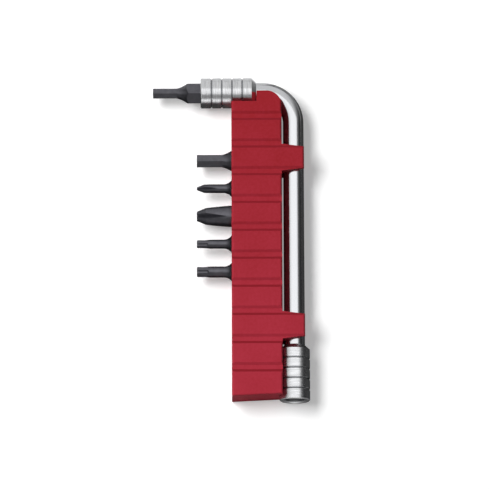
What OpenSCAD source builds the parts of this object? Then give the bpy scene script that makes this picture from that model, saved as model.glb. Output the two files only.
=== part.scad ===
// Pocket bit wrench in its carrying case.
// An angled steel bar with a bit socket on each end clips along the side of a ribbed plastic case.
// Five screwdriver bits stand in pockets along the other side, and a sixth sits in the upper socket.
// Millimetres. The case lies on its back: +X to the clips, +Y to the bar's bend, +Z out of the front.
// The origin is in the case's back face, behind the middle one of its grip ridges.

/* [Bits] */
// Across the flats of a bit's hexagon shank
bit_flats = 6.35; // [5:0.05:8]
// Length of each bit
bit_length = 25; // [23:0.5:32]
// Length of the hexagon shank
bit_shank_length = 13.4; // [12:0.1:16]
// Radius of the short hollow flare of the cross-point and six-lobe bits
short_flare_radius = 3.1; // [2.9:0.1:6]
// Radius of the long hollow flare of the hexagon bits
long_flare_radius = 8; // [7:0.1:14]
// Across the flats of the small hexagon blade, in the wrench
small_hex_flats = 3.15; // [2:0.05:4]
// Across the flats of the large hexagon blade
large_hex_flats = 4; // [3:0.05:5]
// Neck of the small cross-point bit
small_cross_diameter = 2.85; // [2:0.05:4]
// Large cross-point bit just behind its point
large_cross_diameter = 5.75; // [4:0.05:6]
// Across the lobes of the small six-lobe bit
small_lobe_diameter = 2.6; // [2:0.05:3.5]
// Across the lobes of the large six-lobe bit
large_lobe_diameter = 3.3; // [2.5:0.05:4]

/* [Case] */
// Width of the case between the bit side and the clip side
case_width = 16.25; // [14.25:0.05:22]
// Plastic left between two bit pockets
pocket_web = 1.725; // [0.8:0.025:4]
// Plastic in front of and behind a bit pocket
pocket_wall = 1.7; // [1:0.05:4]
// Plastic behind the closed end of a bit pocket
pocket_floor = 2.45; // [0.8:0.05:4]
// Width of a grip groove at the face
groove_width = 3.1; // [1.5:0.05:4]
// Depth of a grip groove
groove_depth = 0.5; // [0.2:0.05:0.5]
// From the last grip groove to the axis of the bar's short leg
head_length = 8.94; // [8.5:0.02:14]
// Rise of the slanting bottom from the bit side to the clip side
bottom_rise = 0.75; // [0:0.05:2]
// Radius of the shoulder that follows the bar's bend
shoulder_radius = 4.9; // [2:0.1:6]
// Rounding along the long edges and the tips of the arms
edge_radius = 0.75; // [0.6:0.05:0.9]
// Rounding along the bottom edges
bottom_edge_radius = 0.45; // [0.3:0.05:0.5]

/* [Clips] */
// Width of a clip arm where it leaves the case
arm_root_width = 8.95; // [7:0.05:12]
// Width of a clip arm at its tip
arm_tip_width = 7.05; // [4:0.05:9]
// Distance that an arm's tip reaches past the bar's far side
arm_reach = 0.05; // [0:0.05:1]
// Air between the case and the bar
bar_gap = 0.48; // [0.3:0.02:2]

/* [Wrench] */
// Diameter of the bar
bar_diameter = 6.65; // [5.5:0.05:8]
// Radius of the bend on the bar's axis
bend_radius = 10.1; // [8:0.1:14]
// Straight stretch of bar between the bend and the upper sleeve
neck_length = 1.9; // [1:0.05:6]
// Distance that the lower sleeve stands out below the case
sleeve_overhang = 1.1; // [0:0.1:4]

/* [Sleeves] */
// Wall outside the corners of the socket
sleeve_wall = 1.16; // [0.8:0.02:2]
// Rings turned on a sleeve
ring_count = 5; // [3:1:7]
// Spacing of the rings
ring_pitch = 3.32; // [3:0.02:4.5]
// Extra length of the ring at the mouth, taken from the ring at the collar
mouth_ring_extra = 0.25; // [0:0.05:1]
// Width of the groove between two rings
ring_groove_width = 0.7; // [0.3:0.05:1.2]
// Depth of the groove between two rings
ring_groove_depth = 0.44; // [0.1:0.02:0.6]
// Length of the sloping collar at the bar
collar_length = 1.45; // [0.6:0.05:3]
// Depth to which a bit goes in
socket_depth = 9.55; // [8:0.05:12]
// Thickness of the magnet behind the bit
magnet_thickness = 2; // [1:0.1:3]

/* [Hidden] */
$fn = 64;

// Cuts run this far past the faces that they open
overrun = 1;
// Clearances: bit in pocket, bit in socket, bar in clip and cradle, sleeve in cradle, sleeve to its stops
pocket_clearance = 0.08;
socket_clearance = 0.05;
bar_clearance = 0.1;
sleeve_clearance = 0.2;
stop_gap = 0.1;
clip_gap = 1.35;
magnet_clearance = 0.05;
spigot_clearance = 0.03;

// Colours of the moulded plastic, the polished bar, the turned sleeves, the magnets and the bits
case_colour = [0.64, 0.16, 0.21];
bar_colour = [0.86, 0.87, 0.88];
sleeve_colour = [0.78, 0.79, 0.80];
magnet_colour = [0.55, 0.55, 0.57];
bit_colour = [0.27, 0.27, 0.30];

// Bits and their pockets
hex_sides = 6;
function across_corners(flats) = flats / cos(180 / hex_sides);
bit_corners = across_corners(bit_flats);
bit_end_chamfer = 0.5;
blade_end_chamfer = 0.25;
flare_inset = 0.1;
point_chamfer = 0.15;
small_point_length = 2.35;
large_point_length = 2.9;
small_flute_length = 7;
large_flute_length = 10;
flute_core_share = 0.28;
small_blunt_share = 0.36;
large_blunt_share = 0.6;
large_root_share = 0.94;
lobe_length = 2.4;
lobe_taper = 1.9;
lobe_neck_step = 0.16;
lobe_flute_length = 3.2;
lobe_core_share = 0.72;
lobe_flute_share = 0.42;
pocket_diameter = bit_corners + 2 * pocket_clearance;
pocket_depth = case_width - pocket_floor;
pocket_lead = 0.3;

// Ridges of the case: the bits stand behind five of them, and the two clips grow from two
ridge_pitch = pocket_diameter + pocket_web;
bit_ridges = [3, 2, 1, 0, -1];
bit_rolls = [-14, -8, -12, -20, -10];
groove_wall_share = 0.55;
groove_count = 10;
end_groove = (groove_count - 1) / 2 * ridge_pitch;
clip_ridge = 3;
clip_height = clip_ridge * ridge_pitch;

// Case box
case_thickness = pocket_diameter + 2 * pocket_wall;
case_right = case_width / 2;
case_left = -case_right;
middle = case_thickness / 2;

// Sleeves and sockets
socket_flats = bit_flats + 2 * socket_clearance;
sleeve_diameter = across_corners(socket_flats) + 2 * sleeve_wall;
sleeve_radius = sleeve_diameter / 2;
ringed_length = ring_count * ring_pitch;
sleeve_length = ringed_length + collar_length;
mouth_chamfer = 0.28;
socket_lead = 0.45;
upper_roll = 14;
lower_roll = 0;
magnet_inset = 0.2;
magnet_diameter = socket_flats - 2 * (magnet_clearance + magnet_inset);
spigot_step = 0.5;
spigot_start = socket_depth + magnet_thickness;
spigot_length = sleeve_length - spigot_start;

// Bar: its long leg lies beside the case, and its short leg crosses the top
bar_radius = bar_diameter / 2;
spigot_diameter = bar_diameter - 2 * spigot_step;
leg_x = case_right + bar_gap + bar_radius;
leg_y = end_groove + head_length;
case_bottom = clip_height + arm_root_width / 2 + clip_gap + sleeve_length - sleeve_overhang;
upper_mouth_x = leg_x - bend_radius - neck_length - sleeve_length;
lower_mouth_y = -case_bottom - sleeve_overhang;
long_leg_length = leg_y - bend_radius - lower_mouth_y - sleeve_length;

// Cradle at the top of the case: a low step under the sleeve, a high lip beside the bar
lip_drop = 0.55;
step_cover = 0.83;
lip_top = leg_y - lip_drop;
step_top = leg_y - sleeve_radius + step_cover;
lip_left = upper_mouth_x + sleeve_length + stop_gap;
arm_tip_x = leg_x + bar_radius + arm_reach;
slot_radius = bar_radius + bar_clearance;
bottom_slant = atan(bottom_rise / case_width);

// A straight hexagonal prism along +Z with a corner towards +X
module hex_prism(flats, length) {
    cylinder(d = across_corners(flats), h = length, $fn = hex_sides);
}

// Height along a bit at which a hollow flare of this radius has come down to the neck
function flare_end(neck_radius, radius) =
    bit_shank_length + sqrt(radius ^ 2 - (neck_radius + radius - bit_corners / 2) ^ 2);

// Hexagon shank with a chamfered end, standing on z = 0, flared down to a round neck
module bit_shank(neck_radius, radius) {
    top = flare_end(neck_radius, radius);
    wide = bit_corners / 2 + overrun;
    intersection() {
        hex_prism(bit_flats, top);
        rotate_extrude() {
            difference() {
                polygon([
                    [0, 0],
                    [bit_corners / 2 - bit_end_chamfer, 0],
                    [wide, bit_end_chamfer + overrun],
                    [wide, top],
                    [0, top]
                ]);
                translate([neck_radius + radius, top]) circle(radius);
            }
        }
    }
}

// Hexagon key bit: the flare dies out in the flats of the blade
module hex_bit(flats) {
    corner = across_corners(flats) / 2;
    bit_shank(flats / 2 - flare_inset, long_flare_radius);
    intersection() {
        translate([0, 0, bit_shank_length]) hex_prism(flats, bit_length - bit_shank_length);
        cylinder(
            r1 = corner - blade_end_chamfer + bit_length,
            r2 = corner - blade_end_chamfer,
            h = bit_length
        );
    }
}

// Cross-point bit: a blunt cone on a neck that may taper, with four V flutes that run out along it
module cross_bit(diameter, root_diameter, blunt_share, point_length, flute_length) {
    neck = diameter / 2;
    root = root_diameter / 2;
    blunt = neck * blunt_share;
    core = neck * flute_core_share;
    difference() {
        union() {
            bit_shank(root, short_flare_radius);
            rotate_extrude() polygon([
                [0, bit_shank_length],
                [root, bit_shank_length],
                [root, flare_end(root, short_flare_radius)],
                [neck, bit_length - point_length],
                [blunt, bit_length - point_chamfer],
                [blunt - point_chamfer, bit_length],
                [0, bit_length]
            ]);
        }
        for (turn = [0 : 90 : 270]) {
            rotate(turn) translate([core, 0, bit_length]) {
                rotate([0, -atan((root - core) / flute_length), 0]) translate([0, 0, -bit_length]) {
                    linear_extrude(bit_length + diameter) {
                        polygon([[0, 0], [diameter, -diameter], [diameter, diameter]]);
                    }
                }
            }
        }
    }
}

// Six-lobe bit: six round-ended flutes along a straight tip, which tapers out to the neck
module lobe_bit(diameter) {
    tip = diameter / 2;
    neck = tip + lobe_neck_step;
    flute = tip * lobe_flute_share;
    difference() {
        union() {
            bit_shank(neck, short_flare_radius);
            rotate_extrude() polygon([
                [0, bit_shank_length],
                [neck, bit_shank_length],
                [neck, bit_length - lobe_length - lobe_taper],
                [tip, bit_length - lobe_length],
                [tip, bit_length - blade_end_chamfer],
                [tip - blade_end_chamfer, bit_length],
                [0, bit_length]
            ]);
        }
        for (turn = [0 : 60 : 300]) {
            rotate(turn) translate([tip * lobe_core_share + flute, 0, bit_length - lobe_flute_length]) {
                cylinder(r = flute, h = lobe_flute_length + overrun);
                sphere(r = flute);
            }
        }
    }
}

// Puts a bit into the case behind one of the ridges, counted from the middle one
module in_pocket(ridge, roll) {
    translate([case_left + pocket_depth, ridge * ridge_pitch, middle]) {
        rotate([0, -90, 0]) rotate(roll) children();
    }
}

// Puts a piece at the mouth of the upper or the lower socket, with +Z into the socket
module at_upper_mouth() {
    translate([upper_mouth_x, leg_y, middle]) rotate([0, 90, 0]) rotate(upper_roll) children();
}

module at_lower_mouth() {
    translate([leg_x, lower_mouth_y, middle]) rotate([-90, 0, 0]) rotate(lower_roll) children();
}

// The path of the bent bar, as a round solid between the two sleeves
module bar_path(radius) {
    translate([leg_x, lower_mouth_y + sleeve_length, middle]) rotate([-90, 0, 0]) {
        cylinder(r = radius, h = long_leg_length);
    }
    translate([leg_x - bend_radius, leg_y - bend_radius, middle]) {
        rotate_extrude(angle = 90) translate([bend_radius, 0]) circle(radius);
    }
    translate([upper_mouth_x + sleeve_length, leg_y, middle]) rotate([0, 90, 0]) {
        cylinder(r = radius, h = neck_length);
    }
}

// A rectangle with rounded corners, from the origin
module rounded_rectangle(size, radius) {
    translate([radius, 0]) square([size.x - 2 * radius, size.y]);
    translate([0, radius]) square([size.x, size.y - 2 * radius]);
    for (x = [radius, size.x - radius], y = [radius, size.y - radius]) {
        translate([x, y]) circle(radius);
    }
}

// Face of the case: the low step under the sleeve, the high lip, and its round shoulder
module case_outline() {
    difference() {
        polygon([
            [case_left, -case_bottom - case_width],
            [case_right, -case_bottom - case_width],
            [case_right, lip_top],
            [lip_left, lip_top],
            [lip_left, step_top],
            [case_left, step_top]
        ]);
        translate([case_right - shoulder_radius, lip_top - shoulder_radius]) {
            difference() {
                square(shoulder_radius + overrun);
                circle(shoulder_radius);
            }
        }
    }
}

// Block of the case with rounded long edges and a slanting, rounded bottom
module case_block() {
    length = case_bottom + leg_y;
    intersection() {
        linear_extrude(case_thickness) case_outline();
        translate([case_left, leg_y, 0]) rotate([90, 0, 0]) {
            linear_extrude(2 * length) rounded_rectangle([case_width, case_thickness], edge_radius);
        }
        translate([0, -case_bottom, 0]) rotate(bottom_slant) rotate([90, 0, 90]) {
            translate([0, 0, -case_width]) linear_extrude(2 * case_width) {
                rounded_rectangle([2 * length, case_thickness], bottom_edge_radius);
            }
        }
    }
}

// One clip: a front and a rear arm that reach round the bar and taper to their tips
module clip_arms() {
    root_x = case_right - 2 * edge_radius;
    intersection() {
        linear_extrude(case_thickness) polygon([
            [root_x, -arm_root_width / 2],
            [case_right, -arm_root_width / 2],
            [arm_tip_x, -arm_tip_width / 2],
            [arm_tip_x, arm_tip_width / 2],
            [case_right, arm_root_width / 2],
            [root_x, arm_root_width / 2]
        ]);
        translate([root_x, arm_root_width / 2, 0]) rotate([90, 0, 0]) {
            linear_extrude(arm_root_width) {
                rounded_rectangle([arm_tip_x - root_x, case_thickness], edge_radius);
            }
        }
    }
}

// Section of one grip groove, with its floor at -groove_depth and sloped walls
module groove_section() {
    half = groove_width / 2;
    run = half * groove_wall_share;
    slope = run / groove_depth;
    polygon([
        [-half - overrun * slope, overrun],
        [-half + run, -groove_depth],
        [half - run, -groove_depth],
        [half + overrun * slope, overrun]
    ]);
}

// Grip grooves across the front face, clip arms included
module front_grooves() {
    for (i = [0 : groove_count - 1]) {
        translate([case_left - overrun, i * ridge_pitch - end_groove, case_thickness]) rotate([90, 0, 90]) {
            linear_extrude(arm_tip_x - case_left + 2 * overrun) groove_section();
        }
    }
}

module bit_case() {
    color(case_colour) difference() {
        union() {
            case_block();
            for (y = [-clip_height, clip_height]) {
                translate([0, y, 0]) clip_arms();
            }
        }
        // Grip grooves on both faces
        front_grooves();
        translate([0, 0, case_thickness]) rotate([0, 180, 0]) mirror([1, 0, 0]) front_grooves();
        // Slot between the arms, cradle of the bar and its open side
        bar_path(slot_radius);
        for (y = [-clip_height, clip_height]) {
            translate([leg_x, y - arm_root_width, middle - slot_radius]) {
                cube([bar_diameter, 2 * arm_root_width, 2 * slot_radius]);
            }
        }
        // Hollows for the two sleeves
        translate([case_left - overrun, leg_y, middle]) rotate([0, 90, 0]) {
            cylinder(r = sleeve_radius + sleeve_clearance, h = lip_left - case_left + overrun);
        }
        translate([leg_x, lower_mouth_y - overrun, middle]) rotate([-90, 0, 0]) {
            cylinder(r = sleeve_radius + sleeve_clearance, h = sleeve_length + stop_gap + overrun);
        }
        // Bit pockets with a lead at the mouth
        for (ridge = bit_ridges) {
            in_pocket(ridge, 0) cylinder(d = pocket_diameter, h = pocket_depth + overrun);
            in_pocket(ridge, 0) translate([0, 0, pocket_depth - pocket_lead]) {
                cylinder(d1 = pocket_diameter, d2 = pocket_diameter + 4 * pocket_lead, h = 2 * pocket_lead);
            }
        }
    }
}

module wrench_bar() {
    color(bar_colour) {
        bar_path(bar_radius);
        at_upper_mouth() bar_core(neck_length);
        at_lower_mouth() bar_core(long_leg_length);
    }
}

// Turned end of the bar, inside a sleeve, rooted through a straight leg into the bend
module bar_core(leg_length) {
    translate([0, 0, spigot_start]) {
        cylinder(d = spigot_diameter, h = spigot_length + leg_length + spigot_step);
    }
}

// Turned sleeve with a hexagon socket, from its mouth at z = 0
module sleeve() {
    socket_corner = across_corners(socket_flats) / 2;
    seat = magnet_diameter / 2 + magnet_clearance;
    bore = spigot_diameter / 2 + spigot_clearance;
    grooves = [
        for (i = [1 : ring_count - 1], point = [[0, -1], [1, 0], [0, 1]])
            [
                sleeve_radius - point.x * ring_groove_depth,
                i * ring_pitch + mouth_ring_extra + point.y * ring_groove_width / 2
            ]
    ];
    color(sleeve_colour) difference() {
        rotate_extrude() polygon(concat(
            [[0, 0], [sleeve_radius - mouth_chamfer, 0], [sleeve_radius, mouth_chamfer]],
            grooves,
            [[sleeve_radius, ringed_length], [bar_radius, sleeve_length], [0, sleeve_length]]
        ));
        translate([0, 0, -overrun]) hex_prism(socket_flats, socket_depth + overrun);
        translate([0, 0, -socket_lead]) {
            cylinder(r1 = socket_corner + 2 * socket_lead, r2 = socket_corner, h = 2 * socket_lead);
        }
        // Seat of the magnet, and behind it the bore for the bar's end
        rotate_extrude() polygon([
            [0, 0],
            [seat, 0],
            [seat, spigot_start],
            [bore, spigot_start],
            [bore, sleeve_length + overrun],
            [0, sleeve_length + overrun]
        ]);
    }
}

// Round magnet behind the bit
module magnet() {
    color(magnet_colour) translate([0, 0, socket_depth]) {
        cylinder(d = magnet_diameter, h = magnet_thickness);
    }
}

module upper_sleeve() {
    at_upper_mouth() sleeve();
}

module lower_sleeve() {
    at_lower_mouth() sleeve();
}

module upper_magnet() {
    at_upper_mouth() magnet();
}

module lower_magnet() {
    at_lower_mouth() magnet();
}

module small_hex_bit() {
    color(bit_colour) at_upper_mouth() {
        translate([0, 0, socket_depth]) rotate([180, 0, 0]) hex_bit(small_hex_flats);
    }
}

module large_hex_bit() {
    color(bit_colour) in_pocket(bit_ridges[0], bit_rolls[0]) hex_bit(large_hex_flats);
}

module small_cross_bit() {
    color(bit_colour) in_pocket(bit_ridges[1], bit_rolls[1]) {
        cross_bit(
            small_cross_diameter,
            small_cross_diameter,
            small_blunt_share,
            small_point_length,
            small_flute_length
        );
    }
}

module large_cross_bit() {
    color(bit_colour) in_pocket(bit_ridges[2], bit_rolls[2]) {
        cross_bit(
            large_cross_diameter,
            bit_corners * large_root_share,
            large_blunt_share,
            large_point_length,
            large_flute_length
        );
    }
}

module small_lobe_bit() {
    color(bit_colour) in_pocket(bit_ridges[3], bit_rolls[3]) lobe_bit(small_lobe_diameter);
}

module large_lobe_bit() {
    color(bit_colour) in_pocket(bit_ridges[4], bit_rolls[4]) lobe_bit(large_lobe_diameter);
}

bit_case();
wrench_bar();
upper_sleeve();
lower_sleeve();
upper_magnet();
lower_magnet();
small_hex_bit();
large_hex_bit();
small_cross_bit();
large_cross_bit();
small_lobe_bit();
large_lobe_bit();
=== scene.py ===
# %% [markdown]
# # A pocket bit wrench in its case
# The real object is a bent steel bar with a bit socket on each end. It clips along the side of
# a ribbed red plastic case, and dark steel screwdriver bits stand in the case's other side.
# The CAD model holds every shape at its true size, so this lesson keeps those meshes as they
# are and gives them finishes, a table, studio light and the camera of a catalogue picture.

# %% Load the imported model
import math

import bpy
from mathutils import Matrix, Vector

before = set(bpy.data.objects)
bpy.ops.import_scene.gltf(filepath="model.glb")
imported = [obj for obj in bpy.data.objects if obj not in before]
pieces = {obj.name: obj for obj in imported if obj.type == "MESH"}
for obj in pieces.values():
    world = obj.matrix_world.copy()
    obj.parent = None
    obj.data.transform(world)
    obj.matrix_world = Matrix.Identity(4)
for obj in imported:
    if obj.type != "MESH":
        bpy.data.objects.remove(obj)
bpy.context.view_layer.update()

print("pieces:", ", ".join(sorted(pieces)))

# %% [markdown]
# ## The camera
# A catalogue picture of a small tool is taken from far above with a long lens, so that its edges
# stay parallel. A shifted or orthographic camera could do that too, but a long lens 1.25 m away
# gives the slight perspective of the real picture: the lower sleeve shows a little of its mouth.
# The camera leans 13.5 degrees towards the lower end, and turns a hair about its own axis.

# %% Camera
MM = 0.001
PICTURE_SIDE = 489
PIXELS_PER_MM = 3.104
SENSOR_WIDTH = 36.0
CAMERA_DISTANCE = 1247 * MM
CAMERA_LEAN = math.radians(13.5)
CAMERA_TURN = math.radians(-0.18)
LOOK_AT = Vector((-3.99, -0.135, 5.446)) * MM

camera_data = bpy.data.cameras.new("catalogue_camera")
camera_data.sensor_width = SENSOR_WIDTH
camera_data.lens = PIXELS_PER_MM / MM * CAMERA_DISTANCE * SENSOR_WIDTH / PICTURE_SIDE
camera = bpy.data.objects.new("catalogue_camera", camera_data)
bpy.context.scene.collection.objects.link(camera)
towards_camera = Vector((0, -math.sin(CAMERA_LEAN), math.cos(CAMERA_LEAN)))
upright = (-towards_camera).to_track_quat("-Z", "Y").to_matrix()
camera.matrix_world = Matrix.LocRotScale(
    LOOK_AT + towards_camera * CAMERA_DISTANCE,
    upright @ Matrix.Rotation(CAMERA_TURN, 3, "Z"),
    None,
)
bpy.context.scene.camera = camera
bpy.context.scene.view_settings.view_transform = "Standard"
print(f"lens {camera_data.lens:.0f} mm at {CAMERA_DISTANCE:.2f} m")

# %% [markdown]
# ## Helpers for every material
# Colours are easiest to read off as sRGB hex values, but Blender's shaders work in linear light,
# so one function turns the first into the second. Another adds a shader node, sets it and links
# it in one line, which keeps each material short enough to read as a recipe. Three small ones
# start a material, turn a pattern's size in millimetres into a noise scale, and name a grey.

# %% Helpers
def linear(hex_colour):
    """sRGB hex, such as "A22B36", to linear RGBA."""
    channels = [int(hex_colour[i:i + 2], 16) / 255 for i in (0, 2, 4)]
    return [c / 12.92 if c <= 0.04045 else ((c + 0.055) / 1.055) ** 2.4 for c in channels] + [1]


def add(tree, kind, inputs=None, stops=None, **settings):
    """Adds a node; each input takes a value or another node's output socket."""
    made = tree.nodes.new("ShaderNode" + kind)
    for name, value in settings.items():
        setattr(made, name, value)
    for key, value in (inputs or {}).items():
        if isinstance(value, bpy.types.NodeSocket):
            tree.links.new(value, made.inputs[key])
        else:
            made.inputs[key].default_value = value
    for i, (place, colour) in enumerate(stops or []):
        bands = made.color_ramp.elements
        band = bands[i] if i < 2 else bands.new(place)
        band.position, band.color = place, colour
    return made


def start_material(name):
    """An empty node material; returns the material and its tree."""
    material = bpy.data.materials.new(name)
    material.use_nodes = True
    material.node_tree.nodes.clear()
    return material, material.node_tree


def per_mm(size):
    """Noise scale whose features are this many millimetres across."""
    return 1 / (size * MM)


def grey(level):
    """A linear grey as RGBA."""
    return (level, level, level, 1)


# %% [markdown]
# ## Red case: injection-moulded ABS
# The case is one plastic moulding, coloured right through, with a fine eroded mould texture that
# makes it satin rather than glossy. To the eye that is a soft, even red with hardly any highlight
# and a faint cloudiness. Its tone deepens a little towards the bend; that gradient is painted
# light, lighter at the lower end and deeper at the bend, for light falling off along the case.
# The groove walls that face the bend are deeper still, painted shade in the grooves. Noise gives
# the clouds and the texture, and the surface's own direction finds those walls.

# %% Moulded red ABS
CLOUD_MM = 9
GRAIN_MM = 0.14
# The real texture is too fine to see in this picture, so its speckle is drawn coarser.
SPECKLE_MM = 0.9
# Ends of the painted light gradient: lighter at the lower end, deeper at the bend end
LIGHTER_END, BEND_END = -35 * MM, 45 * MM

moulded_abs, tree = start_material("moulded_red_abs")
coords = add(tree, "TexCoord")
place = coords.outputs["Object"]
along = add(tree, "SeparateXYZ", {"Vector": place}).outputs["Y"]
# Painted light: the tone runs lighter towards the lower end and deeper towards the bend
painted_light_gradient = add(tree, "MapRange", {"Value": along, "From Min": BEND_END, "From Max": LIGHTER_END})
clouds = add(tree, "TexNoise", {"Vector": place, "Scale": per_mm(CLOUD_MM), "Detail": 3})
tone = add(tree, "Mix", {"Factor": 0.5, "A": clouds.outputs["Fac"], "B": painted_light_gradient.outputs["Result"]},
           data_type="FLOAT")
speckle = add(tree, "TexNoise", {"Vector": place, "Scale": per_mm(SPECKLE_MM), "Detail": 3})
mottled = add(tree, "Mix", {"Factor": 0.35, "A": tone.outputs["Result"],
                            "B": speckle.outputs["Fac"]}, data_type="FLOAT")
tint = add(tree, "ValToRGB", {"Fac": mottled.outputs["Result"]},
           [(0.28, linear("942129")), (0.72, linear("A82F3E"))])
# Painted shade: groove walls that face the bend take the deeper red 861E28
facing = add(tree, "SeparateXYZ", {"Vector": coords.outputs["Normal"]}).outputs["Y"]
painted_groove_shade = add(tree, "MapRange", {"Value": facing, "From Min": 0.1, "From Max": 0.45})
colour = add(tree, "Mix", {"Factor": painted_groove_shade.outputs["Result"], "A": tint.outputs["Color"],
                           "B": linear("861E28")}, data_type="RGBA")
grain = add(tree, "TexNoise", {"Vector": place, "Scale": per_mm(GRAIN_MM), "Detail": 2})
texture = add(tree, "Bump", {"Height": grain.outputs["Fac"], "Strength": 0.25,
                             "Distance": 0.02 * MM})
satin = add(tree, "MapRange", {"Value": clouds.outputs["Fac"], "To Min": 0.5, "To Max": 0.62})
red = add(tree, "BsdfPrincipled", {
    "Base Color": colour.outputs["Result"], "Roughness": satin.outputs["Result"],
    "IOR": 1.5, "Specular IOR Level": 0.12, "Normal": texture.outputs["Normal"]})
add(tree, "OutputMaterial", {"Surface": red.outputs["BSDF"]})
print(f"red ABS: clouds {CLOUD_MM} mm, speckle {SPECKLE_MM} mm, mould texture {GRAIN_MM} mm")

# %% [markdown]
# ## Bent bar: polished, plated steel
# The bar is drawn steel, bent, polished and plated. It works like a mirror along its length:
# a white band from the light overhead between two dark flanks. A plain mirror looks computer
# made, so faint polishing lines along the bar and a little haze break it up.

# %% Polished plated steel
HAZE_MM = 3
LINE_MM = 0.12
LINE_LENGTH_MM = 6

polished, tree = start_material("polished_plated_steel")
place = add(tree, "TexCoord").outputs["Object"]
haze = add(tree, "TexNoise", {"Vector": place, "Scale": per_mm(HAZE_MM), "Detail": 4})
haze_and_groove_shade = add(tree, "MapRange", {"Value": haze.outputs["Fac"], "To Min": 0.12, "To Max": 0.2})
line_scale = (per_mm(LINE_MM), per_mm(LINE_LENGTH_MM), per_mm(LINE_MM))
lines = add(tree, "Mapping", {"Vector": place, "Scale": line_scale})
scratches = add(tree, "TexNoise", {"Vector": lines.outputs["Vector"], "Scale": 1, "Detail": 2})
polish = add(tree, "Bump", {"Height": scratches.outputs["Fac"], "Strength": 0.06,
                            "Distance": 0.01 * MM})
steel = add(tree, "BsdfPrincipled", {
    "Base Color": linear("E4E5E8"), "Metallic": 1, "Roughness": haze_and_groove_shade.outputs["Result"],
    "Normal": polish.outputs["Normal"]})
add(tree, "OutputMaterial", {"Surface": steel.outputs["BSDF"]})
print(f"polished steel: polishing lines {LINE_MM} mm apart")

# %% [markdown]
# ## Sleeves: turned and satin plated
# The two sleeves are turned on a lathe, ringed with V grooves and plated. The tool leaves fine
# rings round the sleeve, so a highlight looks streaked along it. An anisotropic metal could do
# that, but noise stretched round the axis also shows single marks. Some marks are cut cleaner and
# look brighter than others, so a second, wider noise goes into the colour. The grooves get painted
# shade: the Ambient Occlusion node finds where the surface closes in, and the metal's colour
# darkens there.

# %% Turned satin sleeves, one for each direction of the axis
MARK_MM = 0.12
MARK_LENGTH_MM = 1.5
# Real bright marks are too fine to show at this picture size, so they are drawn coarser.
STREAK_MM = 0.45
STREAK_LENGTH_MM = 4
STAIN_MM = 2
# How far the painted groove shade looks for surfaces that close in
GROOVE_SHADE_REACH = 0.6 * MM


def turned_steel(name, axis):
    """Satin steel with tool marks that run round this axis."""
    material, tree = start_material(name)
    place = add(tree, "TexCoord").outputs["Object"]
    noises = []
    for width_mm, length_mm in (MARK_MM, MARK_LENGTH_MM), (STREAK_MM, STREAK_LENGTH_MM):
        stretch = [per_mm(width_mm if letter == axis else length_mm) for letter in "XYZ"]
        drawn = add(tree, "Mapping", {"Vector": place, "Scale": stretch})
        noises.append(add(tree, "TexNoise", {"Vector": drawn.outputs["Vector"], "Scale": 1,
                                             "Detail": 2}))
    rings, streaks = noises
    marks = add(tree, "Bump", {"Height": rings.outputs["Fac"], "Strength": 0.6,
                               "Distance": 0.05 * MM})
    stain = add(tree, "TexNoise", {"Vector": place, "Scale": per_mm(STAIN_MM), "Detail": 3})
    satin = add(tree, "MapRange", {"Value": stain.outputs["Fac"], "To Min": 0.21, "To Max": 0.3})
    # Painted shade in the grooves, found by ambient occlusion
    groove_occlusion = add(tree, "AmbientOcclusion", {"Distance": GROOVE_SHADE_REACH}, samples=6, only_local=True)
    haze_and_groove_shade = add(tree, "MapRange", {"Value": groove_occlusion.outputs["AO"], "From Min": 0.5, "From Max": 0.9})
    streaked = add(tree, "ValToRGB", {"Fac": streaks.outputs["Fac"]},
                [(0.35, linear("DEDFE1")), (0.65, linear("F0F1F3"))])
    # Painted shade: closed-in grooves take the darker grey BCBDBF, open metal the streaked colour
    colour = add(tree, "Mix", {"Factor": haze_and_groove_shade.outputs["Result"], "A": linear("BCBDBF"),
                               "B": streaked.outputs["Color"]}, data_type="RGBA")
    metal = add(tree, "BsdfPrincipled", {
        "Base Color": colour.outputs["Result"], "Metallic": 1,
        "Roughness": satin.outputs["Result"], "Normal": marks.outputs["Normal"]})
    add(tree, "OutputMaterial", {"Surface": metal.outputs["BSDF"]})
    return material


turned_across = turned_steel("turned_satin_steel_across", "X")
turned_along = turned_steel("turned_satin_steel_along", "Y")
print(f"turned steel: tool marks {MARK_MM} mm apart")

# %% [markdown]
# ## Bits: blasted, blackened tool steel
# Bits are forged and milled from tool steel, blasted and blackened. The black is thin and still
# mirrors the room dimly, so each facet takes its own grey: light where it looks up and back, dark
# in the flutes and hollow flares. A dark metal gives that, and a dull dielectric would not. The
# Bevel node's rounded surface differs from the true one at edges, where the black is worn.

# %% Blackened tool steel
PATCH_MM = 1.5
PIT_MM = 0.1
WORN_RADIUS = 0.12 * MM
WORN_SHARE = 0.3


def edge_mask(tree, radius, low, high):
    """1 on edges within this radius, 0 on flats, where rounded and true surface agree."""
    rounded = add(tree, "Bevel", {"Radius": radius}, samples=6)
    true = add(tree, "NewGeometry")
    same = add(tree, "VectorMath", {0: rounded.outputs["Normal"], 1: true.outputs["Normal"]},
               operation="DOT_PRODUCT")
    return add(tree, "MapRange", {"Value": same.outputs["Value"], "From Min": high,
                                  "From Max": low}).outputs["Result"]


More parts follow.
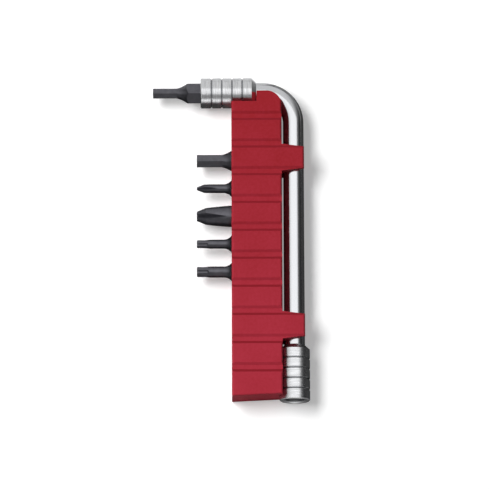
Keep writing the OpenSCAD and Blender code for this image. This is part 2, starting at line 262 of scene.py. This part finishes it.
blackened, tree = start_material("blackened_tool_steel")
place = add(tree, "TexCoord").outputs["Object"]
patches = add(tree, "TexNoise", {"Vector": place, "Scale": per_mm(PATCH_MM), "Detail": 4})
shade = add(tree, "ValToRGB", {"Fac": patches.outputs["Fac"]},
            [(0.3, linear("6A6A70")), (0.7, linear("76767C"))])
worn = edge_mask(tree, WORN_RADIUS, low=0.85, high=0.99)
worn_share = add(tree, "Math", {0: worn, 1: WORN_SHARE}, operation="MULTIPLY")
colour = add(tree, "Mix", {"Factor": worn_share.outputs[0], "A": shade.outputs["Color"],
                           "B": linear("A6A6AA")}, data_type="RGBA")
blast = add(tree, "TexNoise", {"Vector": place, "Scale": per_mm(PIT_MM), "Detail": 2})
pits = add(tree, "Bump", {"Height": blast.outputs["Fac"], "Strength": 0.2, "Distance": 0.01 * MM})
dull = add(tree, "MapRange", {"Value": patches.outputs["Fac"], "To Min": 0.35, "To Max": 0.45})
black = add(tree, "BsdfPrincipled", {
    "Base Color": colour.outputs["Result"], "Metallic": 1, "Roughness": dull.outputs["Result"],
    "Normal": pits.outputs["Normal"]})
add(tree, "OutputMaterial", {"Surface": black.outputs["BSDF"]})
print(f"blackened steel: blasting pits {PIT_MM} mm")

# %% [markdown]
# ## Magnets: nickel plating
# A round magnet sits at the bottom of each socket. Only a glint of it shows, so its finish is
# a plain bright nickel with the slight orange-peel of plating. One noise drives the ripple, the
# haze and the faint warm tarnish, because on real plating they come together.

# %% Nickel plating
PEEL_MM = 0.5

nickel, tree = start_material("nickel_plating")
place = add(tree, "TexCoord").outputs["Object"]
peel = add(tree, "TexNoise", {"Vector": place, "Scale": per_mm(PEEL_MM), "Detail": 2})
ripple = add(tree, "Bump", {"Height": peel.outputs["Fac"], "Strength": 0.15,
                            "Distance": 0.02 * MM})
bloom = add(tree, "MapRange", {"Value": peel.outputs["Fac"], "To Min": 0.18, "To Max": 0.3})
tarnish = add(tree, "ValToRGB", {"Fac": peel.outputs["Fac"]},
              [(0.3, linear("C4BFB5")), (0.7, linear("CDC9C0"))])
plate = add(tree, "BsdfPrincipled", {
    "Base Color": tarnish.outputs["Color"], "Metallic": 1, "Roughness": bloom.outputs["Result"],
    "Normal": ripple.outputs["Normal"]})
add(tree, "OutputMaterial", {"Surface": plate.outputs["BSDF"]})
print(f"nickel: orange-peel {PEEL_MM} mm")

# %% [markdown]
# ## Finishes onto pieces
# Every piece is made of one material, so it gets one finish over its whole mesh. All six bits come
# from one batch and share theirs. The slot names are the ones that the part's record uses.

# %% Put the finishes on the pieces
finishes = {
    "bit_case": (moulded_abs, "red_plastic"),
    "wrench_bar": (polished, "polished_steel"),
    "upper_sleeve": (turned_across, "turned_steel"),
    "lower_sleeve": (turned_along, "turned_steel"),
    "upper_magnet": (nickel, "magnet_plating"),
    "lower_magnet": (nickel, "magnet_plating"),
}
for name, piece in pieces.items():
    finish, slot = finishes.get(name, (blackened, "bit_steel"))
    piece.data.materials.clear()
    piece.data.materials.append(finish)
    print(f"{name}: {finish.name}, {len(piece.data.polygons)} faces")

# %% [markdown]
# ## The table
# The picture's background is pure white with a soft shadow. A white table in plain light comes
# out slightly grey, so it glows a little to the camera and in reflections, and only the shadow
# is left grey. Far from the object it glows more, because the lamp's light falls off there.
# The object lies on it at height zero.

# %% White table
TABLE_SIDE = 40.0
TABLE_DROP = -0.02 * MM
TABLE_LIGHTNESS = 0.78
GLOW_NEAR, GLOW_FAR = 0.34, 0.95
NEAR_TABLE, FAR_TABLE = 0.12, 0.5


def flat_sheet(name, low, high, height):
    """A rectangular sheet from corner to corner, facing up, that is not part of the object."""
    mesh = bpy.data.meshes.new(name)
    mesh.from_pydata([(low[0], low[1], height), (high[0], low[1], height),
                      (high[0], high[1], height), (low[0], high[1], height)], [], [(0, 1, 2, 3)])
    sheet = bpy.data.objects.new(name, mesh)
    bpy.context.scene.collection.objects.link(sheet)
    return sheet


table = flat_sheet("table", (-TABLE_SIDE / 2,) * 2, (TABLE_SIDE / 2,) * 2, TABLE_DROP)
white, tree = start_material("white_table")
paper = add(tree, "BsdfDiffuse", {"Color": grey(TABLE_LIGHTNESS)})
path = add(tree, "LightPath")
seen = add(tree, "Math", {0: path.outputs["Is Camera Ray"], 1: path.outputs["Is Glossy Ray"]},
           operation="MAXIMUM")
seen = add(tree, "Math", {0: seen.outputs[0], 1: path.outputs["Is Transmission Ray"]},
           operation="MAXIMUM")
distance = add(tree, "VectorMath", {0: add(tree, "NewGeometry").outputs["Position"]},
               operation="LENGTH")
lift = add(tree, "MapRange", {
    "Value": distance.outputs["Value"], "From Min": NEAR_TABLE, "From Max": FAR_TABLE,
    "To Min": GLOW_NEAR, "To Max": GLOW_FAR})
glow_level = add(tree, "Math", {0: seen.outputs[0], 1: lift.outputs["Result"]},
                 operation="MULTIPLY")
glow = add(tree, "Emission", {"Color": grey(1), "Strength": glow_level.outputs[0]})
both = add(tree, "AddShader", {0: paper.outputs[0], 1: glow.outputs[0]})
add(tree, "OutputMaterial", {"Surface": both.outputs[0]})
table.data.materials.append(white)
print(f"table: {TABLE_SIDE:.0f} m square")

# %% [markdown]
# ## Studio light
# Plastic and metal need different things. The red plastic and the shadow come from one key lamp
# at the upper left, and a small fill lifts the lower end. Metal only shows what it mirrors, so
# it gets a wide white card overhead, as a photographer sets cards round chrome. The card is a
# lamp that only reflections see, and the key and the fill are lamps that reflections don't see.

# %% Lamps
def panel(name, position, target, size, radiance):
    """A rectangular lamp of this size in metres, aimed at a point, with the given radiance."""
    lamp = bpy.data.lights.new(name, "AREA")
    lamp.shape = "RECTANGLE"
    lamp.size, lamp.size_y = size
    lamp.energy = math.pi * radiance * size[0] * size[1]
    lamp_object = bpy.data.objects.new(name, lamp)
    bpy.context.scene.collection.objects.link(lamp_object)
    lamp_object.location = position
    aim = Vector(target) - Vector(position)
    lamp_object.rotation_euler = aim.to_track_quat("-Z", "Y").to_euler()
    lamp_object.visible_camera = False
    print(f"{name}: {lamp.energy:.2f} W")
    return lamp_object


def spread(distance, *angles):
    """How far off the axis each angle in degrees lands at this distance."""
    return [distance * math.tan(math.radians(angle)) for angle in angles]


KEY_DISTANCE = 1.0
KEY_SIZE = (0.62, 0.42)
KEY_RADIANCE = 14.2
KEY_LEFT_ANGLE, KEY_BACK_ANGLE = 31, 13
key_left, key_back = spread(1, KEY_LEFT_ANGLE, KEY_BACK_ANGLE)
key_direction = Vector((-key_left, key_back, 1)).normalized()
key = panel("key", key_direction * KEY_DISTANCE, (0, 0, 0), KEY_SIZE, KEY_RADIANCE)
key.visible_glossy = False

FILL_PLACE = (0, -0.17, 0.07)
FILL_TARGET = (0, -0.05, 0.005)
FILL_SIZE = (0.2, 0.1)
FILL_RADIANCE = 0.4
fill = panel("front_fill", FILL_PLACE, FILL_TARGET, FILL_SIZE, FILL_RADIANCE)
fill.visible_glossy = False

CARD_HEIGHT = 0.5
CARD_RADIANCE = 0.58
# Angles from straight up to the card's left, right, front and back edges
CARD_ANGLES = (-65, 42, -17, 27)
left, right, front, back = spread(CARD_HEIGHT, *CARD_ANGLES)
centre = Vector(((left + right) / 2, (front + back) / 2, CARD_HEIGHT))
below = centre - Vector((0, 0, CARD_HEIGHT))
card = panel("overhead_card", centre, below, (right - left, back - front), CARD_RADIANCE)
card.visible_diffuse = False

# %% [markdown]
# ## Strips low in front
# The sleeves show a second white band below the first, from a strip low in front of them. The
# dark bits show it only faintly. A photographer would flag the strip off the bits; here light
# linking gives each of the two groups a strip of its own strength.

# %% Strips
STRIP_DISTANCE = 0.45
STRIP_LENGTH = 1.2
# Angles from level to the strip's lower and upper edges
STRIP_ANGLES = (8, 33)
low, high = spread(STRIP_DISTANCE, *STRIP_ANGLES)
sleeve_names = ("upper_sleeve", "lower_sleeve")
bit_names = [name for name in sorted(pieces) if name.endswith("_bit")]
for name, lit_names, radiance in [
    ("strip_for_sleeves", sleeve_names, 0.75),
    ("strip_for_bits", bit_names, 0.12),
]:
    centre = Vector((0, -STRIP_DISTANCE, (low + high) / 2))
    strip = panel(name, centre, (0, 0, centre.z), (STRIP_LENGTH, high - low), radiance)
    strip.visible_diffuse = False
    lit = bpy.data.collections.new(name)
    for lit_name in lit_names:
        lit.objects.link(pieces[lit_name])
    strip.light_linking.receiver_collection = lit

# %% [markdown]
# ## The studio that metal mirrors
# The world is what rays see when they meet nothing. It is the rest of the studio: light behind,
# darker in front and nearly black on both sides, and it gives diffuse surfaces a faint even light.
# A picture of a real studio could stand there, but a gradient says plainly what each side does.

# %% World
AMBIENT = 0.06
world = bpy.data.worlds.new("studio")
bpy.context.scene.world = world
world.use_nodes = True
tree = world.node_tree
tree.nodes.clear()
direction = add(tree, "SeparateXYZ", {"Vector": add(tree, "TexCoord").outputs["Generated"]})
depth = add(tree, "MapRange", {"Value": direction.outputs["Y"], "From Min": -0.5, "From Max": 0.6,
                               "To Min": 0.25, "To Max": 0.66}, interpolation_type="SMOOTHSTEP")
sideways = add(tree, "Math", {0: direction.outputs["X"]}, operation="ABSOLUTE")
side = add(tree, "MapRange", {"Value": sideways.outputs[0], "From Min": 0.35, "From Max": 0.95,
                              "To Min": 1, "To Max": 0.05}, interpolation_type="SMOOTHSTEP")
studio = add(tree, "Math", {0: depth.outputs[0], 1: side.outputs[0]}, operation="MULTIPLY")
path = add(tree, "LightPath")
soft = add(tree, "Mix", {"Factor": path.outputs["Is Diffuse Ray"], "A": studio.outputs[0],
                         "B": AMBIENT}, data_type="FLOAT")
ground = add(tree, "Background", {"Color": grey(1), "Strength": soft.outputs["Result"]})
add(tree, "OutputWorld", {"Surface": ground.outputs[0]})
print(f"world: a dim studio, {AMBIENT} for diffuse light")

# %% [markdown]
# ## Felt and cards on the table
# On a bare white table the undersides of the bar and sleeves would mirror white. They are dark in
# the picture, so sheets that only reflections see lie on the table: dark felt under the object,
# and grey cards in front of and behind it. The camera and the shadow still get the white table.

# %% Sheets that only reflections see
SHEET_HEIGHT = 0.01 * MM
IN_FRONT, BEHIND, MIDDLE = -0.052, 0.055, 0.006
NEAR, FAR = 0.3, TABLE_SIDE / 2
covers = {}
for name, lightness in [("dark_felt", 0.05), ("slate_card", 0.2), ("pale_card", 0.6)]:
    covers[name], tree = start_material(name)
    matt = add(tree, "BsdfDiffuse", {"Color": grey(lightness)})
    add(tree, "OutputMaterial", {"Surface": matt.outputs[0]})
for name, low_corner, high_corner, cover in [
    ("felt_under", (-NEAR, IN_FRONT), (FAR, BEHIND), "dark_felt"),
    ("card_in_front", (-NEAR, -NEAR), (FAR, IN_FRONT), "slate_card"),
    ("card_behind_right", (MIDDLE, BEHIND), (FAR, FAR), "slate_card"),
    ("card_behind_left", (-FAR, BEHIND), (MIDDLE, FAR), "pale_card"),
]:
    sheet = flat_sheet(name, low_corner, high_corner, SHEET_HEIGHT)
    sheet.visible_camera = sheet.visible_diffuse = sheet.visible_shadow = False
    sheet.visible_transmission = False
    sheet.data.materials.append(covers[cover])
    print(f"{name}: {cover}")
